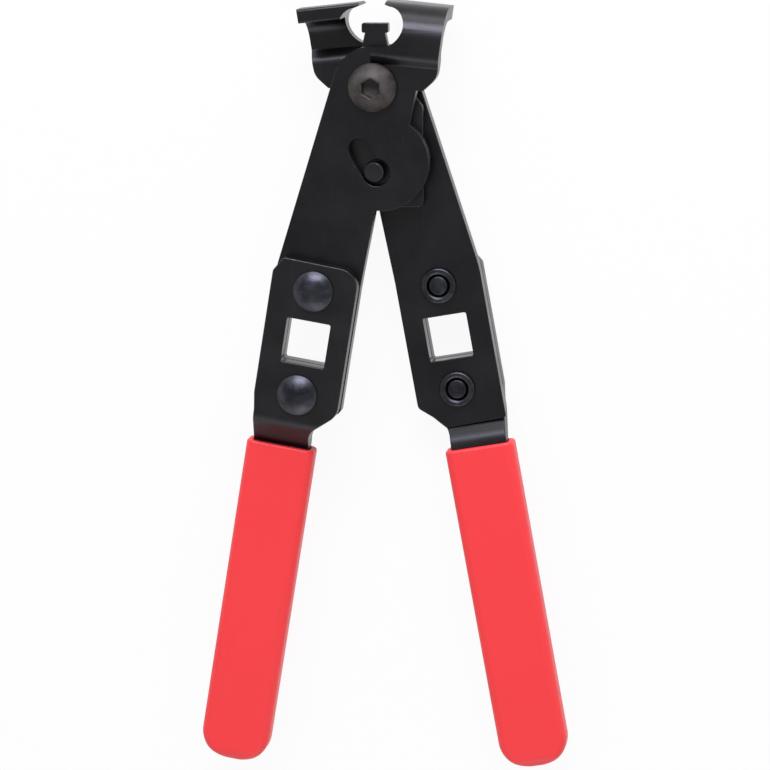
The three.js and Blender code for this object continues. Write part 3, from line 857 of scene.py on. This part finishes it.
def floor_material(stage):
    """Pale floor that reads as white to the eye and in reflections, and keeps a soft shadow."""
    white_share = 0.93
    material, tree, shader, _ = new_material("pale_floor", Roughness=0.9, Specular_IOR_Level=0.1)
    shader.inputs["Base Color"].default_value = opaque(stage.floor_colour)
    ray = tree.nodes.new("ShaderNodeLightPath").outputs
    seen = math_node(tree, "MAXIMUM", ray["Is Camera Ray"], ray["Is Glossy Ray"])
    seen = math_node(tree, "MAXIMUM", seen, ray["Is Transmission Ray"])
    white = add_node(tree, "ShaderNodeEmission", {"Color": (1, 1, 1, 1), "Strength": 1.0})
    white_part = math_node(tree, "MULTIPLY", seen, white_share)
    blend = add_node(
        tree, "ShaderNodeMixShader", {0: white_part, 1: shader.outputs[0], 2: white.outputs[0]}
    )
    out = next(n for n in tree.nodes if n.type == "OUTPUT_MATERIAL")
    tree.links.new(blend.outputs[0], out.inputs["Surface"])
    return material


# Each soft box: its name, its turn from +Y towards +X and its rise in degrees, its distance, width,
# height, radiance and tint.
SOFT_BOXES = (
    ("box_past_the_jaws", 4, 41, 1.10, 0.80, 0.34, 12.5, (0.86, 0.88, 1.0)),
    ("box_low_past_the_jaws", 4, 11, 1.15, 0.95, 0.36, 3.2, (0.95, 0.98, 1.0)),
    ("box_behind_the_grips", 176, 30, 1.10, 0.80, 0.58, 1.5, (1.0, 1.0, 1.0)),
)


def add_light(name, turn, rise, distance, width, height, radiance, tint):
    """A soft box that looks at the origin from a turn and a rise, with its power from its radiance."""
    turn, rise = math.radians(turn), math.radians(rise)
    away = Vector((math.sin(turn) * math.cos(rise), math.cos(turn) * math.cos(rise), math.sin(rise)))
    light = bpy.data.lights.new(name, "AREA")
    light.shape = "RECTANGLE"
    light.size, light.size_y = width, height
    light.energy = radiance * math.pi * width * height
    light.color = tint
    lamp = bpy.data.objects.new(name, light)
    bpy.context.scene.collection.objects.link(lamp)
    lamp.location = away * distance
    lamp.rotation_euler = (-away).to_track_quat("-Z", "Y").to_euler()


def add_camera(stage):
    """The camera stands above the flat tool, a little to the right and past the jaws."""
    level = math.cos(stage.lift)
    back = Vector((math.sin(stage.azimuth) * level, math.sin(stage.lift), math.cos(stage.azimuth) * level))
    right = Vector((math.cos(stage.azimuth), 0, -math.sin(stage.azimuth)))
    up = back.cross(right)
    straight, aside = math.cos(stage.roll), math.sin(stage.roll)
    right, up = right * straight + up * aside, up * straight - right * aside
    data = bpy.data.cameras.new("camera")
    data.lens = stage.lens
    camera = bpy.data.objects.new("camera", data)
    bpy.context.scene.collection.objects.link(camera)
    turn = Matrix((right, up, back)).transposed().to_4x4()
    camera.matrix_world = Matrix.Translation(PIVOT + Vector(stage.aim) + back * stage.distance) @ turn
    bpy.context.scene.camera = camera


# Operators, one for each piece or group of like pieces, and one for the stage.


class PLIERS_OT_stage(Operator):
    """Add the floor, the soft boxes, the world and the camera"""

    bl_idname = "pliers.stage"
    bl_label = "Add Stage"

    def execute(self, context):
        stage = context.scene.pliers_stage
        mesh = bpy.data.meshes.new("floor")
        bm = floor_mesh(stage)
        bm.to_mesh(mesh)
        bm.free()
        mesh.materials.append(floor_material(stage))
        floor = bpy.data.objects.new("floor", mesh)
        context.scene.collection.objects.link(floor)
        for box in SOFT_BOXES:
            add_light(*box)
        world = bpy.data.worlds.new("studio")
        context.scene.world = world
        world.use_nodes = True
        background = world.node_tree.nodes["Background"].inputs
        background["Color"].default_value = (1, 1, 1, 1)
        background["Strength"].default_value = stage.world
        context.scene.view_settings.view_transform = "Standard"
        add_camera(stage)
        return {"FINISHED"}


class PLIERS_OT_levers(Operator):
    """Round and blacken the two levers"""

    bl_idname = "pliers.levers"
    bl_label = "Add Levers"

    def execute(self, context):
        plate = context.scene.pliers_plate
        steel = blackened_steel("blackened_lever_steel", plate.lever_colour, plate, plate.roughness)
        for side in SIDES:
            node = f"{side}_lever"
            bm = rounded_copy(node, plate.lever_rim, plate.rim_steps, is_lever_rim)
            add_piece(f"{side}_lever_plate", bm, f"{side}_arm", steel, [node])
        return {"FINISHED"}


class PLIERS_OT_handle_bars(Operator):
    """Round and blacken the two cranked handle bars"""

    bl_idname = "pliers.handle_bars"
    bl_label = "Add Handle Bars"

    def execute(self, context):
        plate = context.scene.pliers_plate
        steel = blackened_steel("blackened_bar_steel", plate.bar_colour, plate, plate.bar_roughness)
        for side in SIDES:
            node = f"{side}_handle_bar"
            bm = rounded_copy(node, plate.bar_rim, plate.rim_steps)
            add_piece(f"{side}_cranked_bar", bm, f"{side}_arm", steel, [node])
        return {"FINISHED"}


class PLIERS_OT_grips(Operator):
    """Add the two dipped grips"""

    bl_idname = "pliers.grips"
    bl_label = "Add Grips"

    def execute(self, context):
        grip = context.scene.pliers_grip
        vinyl = dipped_vinyl(grip)
        for side in SIDES:
            bm = grip_mesh(grip, arm_place(side))
            add_piece(f"{side}_dipped_grip", bm, f"{side}_arm", vinyl, [f"{side}_grip"])
        return {"FINISHED"}


class PLIERS_OT_rivets(Operator):
    """Add the four rivets"""

    bl_idname = "pliers.rivets"
    bl_label = "Add Rivets"

    def execute(self, context):
        part = context.scene.pliers_fastener
        steel = turned_steel("blued_rivet_steel", part.rivet_colour, part.rivet_roughness)
        for side in SIDES:
            for place, way in (("upper", 1), ("lower", -1)):
                at = arm_place(side) @ Matrix.Translation((0, way * RIVET_PITCH / 2, 0))
                name = f"{side}_domed_rivet_{place}"
                node = f"{side}_rivet_{place}"
                add_piece(name, rivet_mesh(part, at), f"{side}_arm", steel, [node])
        return {"FINISHED"}


class PLIERS_OT_pivot(Operator):
    """Add the pivot screw and its nut"""

    bl_idname = "pliers.pivot"
    bl_label = "Add Pivot"

    def execute(self, context):
        part = context.scene.pliers_fastener
        steel = turned_steel("phosphated_screw_steel", part.screw_colour, part.screw_roughness, PIVOT)
        bm = screw_mesh(part, Matrix.Translation(PIVOT))
        add_piece("socket_screw", bm, "pivot", steel, ["pivot_screw"])
        bm = rounded_copy("pivot_nut", part.nut_rim, part.nut_steps)
        add_piece("hexagon_nut", bm, "pivot", steel, ["pivot_nut"])
        return {"FINISHED"}


class PLIERS_OT_anvil(Operator):
    """Round and blacken the anvil plate, and add its cam pin"""

    bl_idname = "pliers.anvil"
    bl_label = "Add Anvil"

    def execute(self, context):
        part = context.scene.pliers_fastener
        plate = context.scene.pliers_plate
        steel = blackened_steel("blackened_anvil_steel", plate.anvil_colour, plate, plate.roughness)
        bm = rounded_copy("anvil_plate", plate.anvil_rim, plate.rim_steps)
        add_piece("anvil_slide_plate", bm, "anvil", steel, ["anvil_plate"])
        low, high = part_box("cam_pin")
        middle = Matrix.Translation((low + high) / 2)
        add_piece("cam_drive_pin", pin_mesh(part, middle), "anvil", steel, ["cam_pin"])
        return {"FINISHED"}


class PLIERS_PT_panel(Panel):
    """Lists the operators and their settings"""

    bl_idname = "PLIERS_PT_panel"
    bl_label = "Hose Clamp Pliers"
    bl_space_type = "VIEW_3D"
    bl_region_type = "UI"
    bl_category = "Pliers"

    def draw(self, context):
        for operator in OPERATORS:
            self.layout.operator(operator.bl_idname)
        for name in SETTINGS:
            settings = getattr(context.scene, name)
            box = self.layout.box()
            for key in settings.__annotations__:
                box.prop(settings, key)


SETTINGS = {
    "pliers_plate": PlateSettings,
    "pliers_grip": GripSettings,
    "pliers_fastener": FastenerSettings,
    "pliers_stage": StageSettings,
}
OPERATORS = (
    PLIERS_OT_stage,
    PLIERS_OT_levers,
    PLIERS_OT_handle_bars,
    PLIERS_OT_grips,
    PLIERS_OT_rivets,
    PLIERS_OT_pivot,
    PLIERS_OT_anvil,
)


def register():
    for cls in (*SETTINGS.values(), *OPERATORS, PLIERS_PT_panel):
        bpy.utils.register_class(cls)
    for name, cls in SETTINGS.items():
        setattr(bpy.types.Scene, name, PointerProperty(type=cls))


def unregister():
    for name in SETTINGS:
        delattr(bpy.types.Scene, name)
    for cls in reversed((*SETTINGS.values(), *OPERATORS, PLIERS_PT_panel)):
        bpy.utils.unregister_class(cls)


def main():
    register()
    for operator in OPERATORS:
        family, name = operator.bl_idname.split(".")
        getattr(getattr(bpy.ops, family), name)()


if __name__ == "__main__":
    main()
